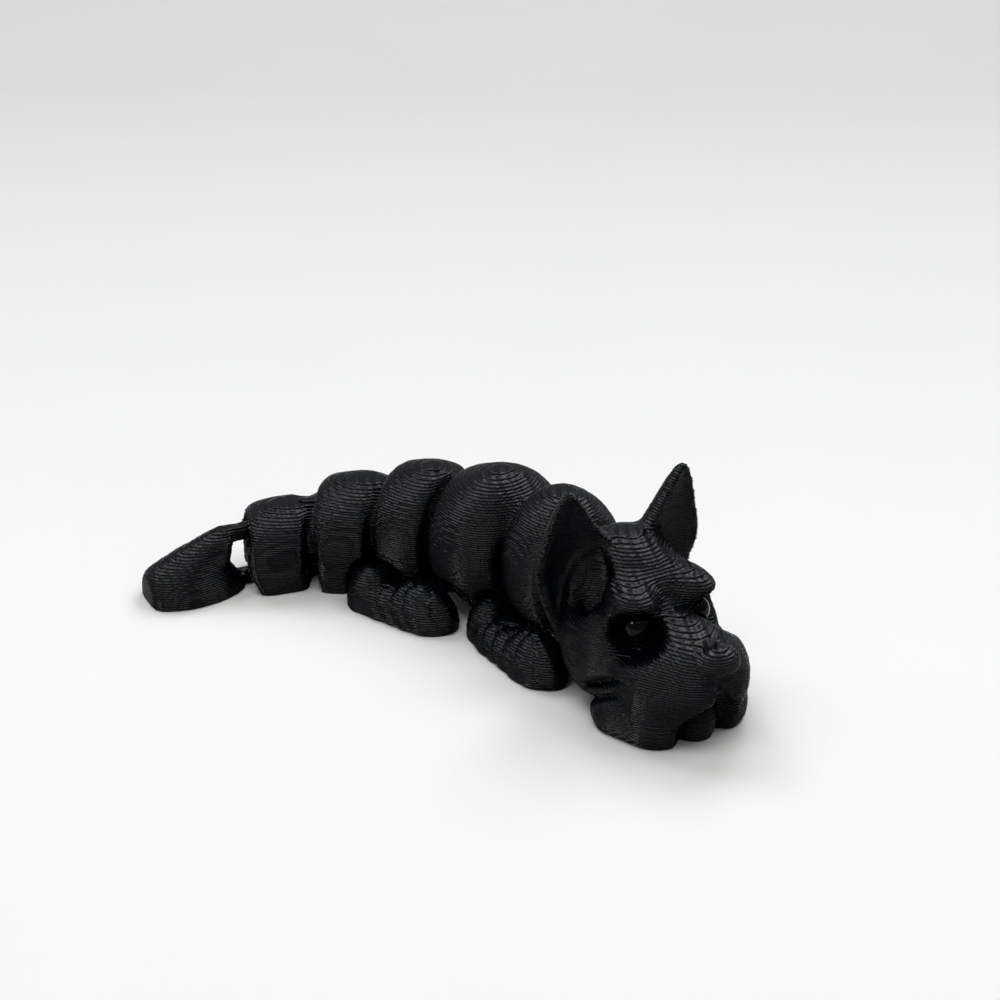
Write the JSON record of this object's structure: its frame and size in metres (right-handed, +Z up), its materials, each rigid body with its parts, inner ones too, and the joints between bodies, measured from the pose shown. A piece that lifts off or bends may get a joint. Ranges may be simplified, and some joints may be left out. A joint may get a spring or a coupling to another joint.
{
  "type": "jointed dog fidget toy",
  "caption": "Small printed dog toy lying on its belly, with jointed arched body links, swinging legs, pricked ears, bearded snout and glossy bead eyes.",
  "frame": {"origin": "in the flat of the belly under the chest link, midway between its two pins", "axes": "+Z up from the table, +X towards the front of the chest link, +Y to the dog's left"},
  "size_m": [0.0585, 0.034, 0.0192],
  "materials": {
    "body": "charcoal printed plastic with fine layer lines and a soft sheen",
    "eyes": "smooth glossy black"
  },
  "bodies": {
    "chest": {"chest": "body"},
    "neck": {"neck": "body"},
    "head": {"head": "body", "left_eye": "eyes", "right_eye": "eyes"},
    "waist": {"waist": "body"},
    "hip": {"hip": "body"},
    "tail_root": {"tail_root": "body"},
    "tail_tip": {"tail_tip": "body"},
    "front_left_leg": {"front_left_leg": "body"},
    "front_right_leg": {"front_right_leg": "body"},
    "hind_left_leg": {"hind_left_leg": "body"},
    "hind_right_leg": {"hind_right_leg": "body"}
  },
  "joints": [
    {"name": "head_turn", "type": "hinge", "parent": "neck", "child": "head", "pos_m": [0.01141, -0.00204, 0], "axis": [0, 0, 1], "range_deg": [-1.5, 14]},
    {"name": "neck_turn", "type": "hinge", "parent": "chest", "child": "neck", "pos_m": [0.0043, 0, 0], "axis": [0, 0, 1], "range_deg": [-1, 31]},
    {"name": "waist_turn", "type": "hinge", "parent": "chest", "child": "waist", "pos_m": [-0.0043, 0, 0], "axis": [0, 0, 1], "range_deg": [-33, 3]},
    {"name": "hip_turn", "type": "hinge", "parent": "waist", "child": "hip", "pos_m": [-0.01201, -0.00214, 0], "axis": [0, 0, 1], "range_deg": [-34, 3]},
    {"name": "tail_root_turn", "type": "hinge", "parent": "hip", "child": "tail_root", "pos_m": [-0.01798, -0.00579, 0], "axis": [0, 0, 1], "range_deg": [-50.5, 5.5]},
    {"name": "tail_tip_turn", "type": "hinge", "parent": "tail_root", "child": "tail_tip", "pos_m": [-0.02197, -0.0113, 0], "axis": [0, 0, 1], "range_deg": [-44, 12]},
    {"name": "front_left_leg_swing", "type": "hinge", "parent": "chest", "child": "front_left_leg", "pos_m": [0.00162, 0.00422, 0], "axis": [0, 0, 1], "range_deg": [0, 20]},
    {"name": "front_right_leg_swing", "type": "hinge", "parent": "chest", "child": "front_right_leg", "pos_m": [0.00162, -0.00422, 0], "axis": [0, 0, -1], "range_deg": [0, 20]},
    {"name": "hind_left_leg_swing", "type": "hinge", "parent": "hip", "child": "hind_left_leg", "pos_m": [-0.01599, 0.00106, 0], "axis": [0, 0, 1], "range_deg": [-3, 16]},
    {"name": "hind_right_leg_swing", "type": "hinge", "parent": "hip", "child": "hind_right_leg", "pos_m": [-0.01097, -0.00714, 0], "axis": [0, 0, -1], "range_deg": [-3, 16]}
  ]
}
